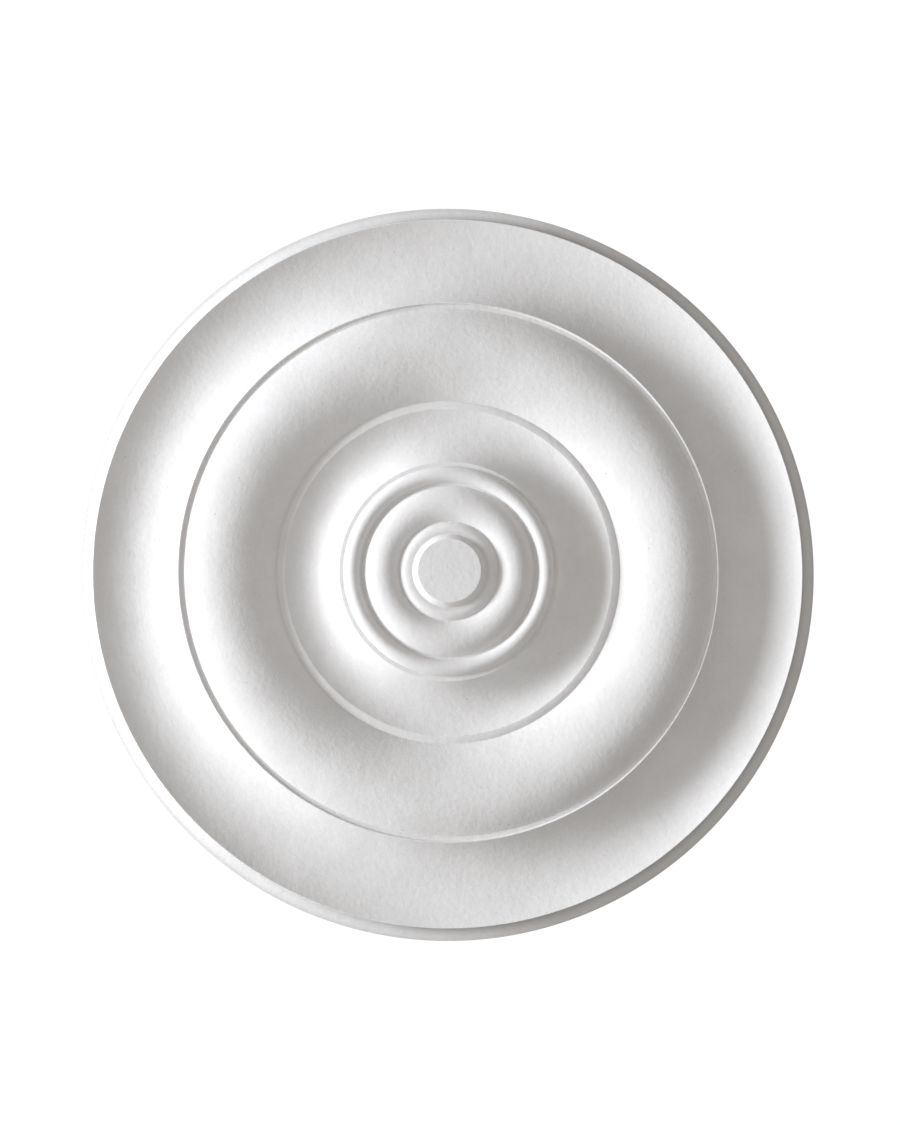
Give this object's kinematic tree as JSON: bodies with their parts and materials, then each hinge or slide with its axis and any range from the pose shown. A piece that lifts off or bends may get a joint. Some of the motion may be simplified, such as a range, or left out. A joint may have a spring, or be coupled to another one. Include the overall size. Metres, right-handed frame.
{
  "type": "ceiling rose",
  "caption": "Plain round ceiling rose in white cast plaster: concentric coves, rounds and a bead step down from the rim to a flat blank disc in the middle.",
  "frame": {"origin": "middle of the flat back, on the plane of the ceiling", "axes": "+Z is the axis of the mouldings and points up into the ceiling; the moulded face looks down, along -Z; X and Y lie in the ceiling and are alike"},
  "size_m": [0.5, 0.5, 0.0329],
  "materials": {
    "plaster": "matte"
  },
  "bodies": {
    "root": {"rose": "plaster"}
  },
  "joints": []
}
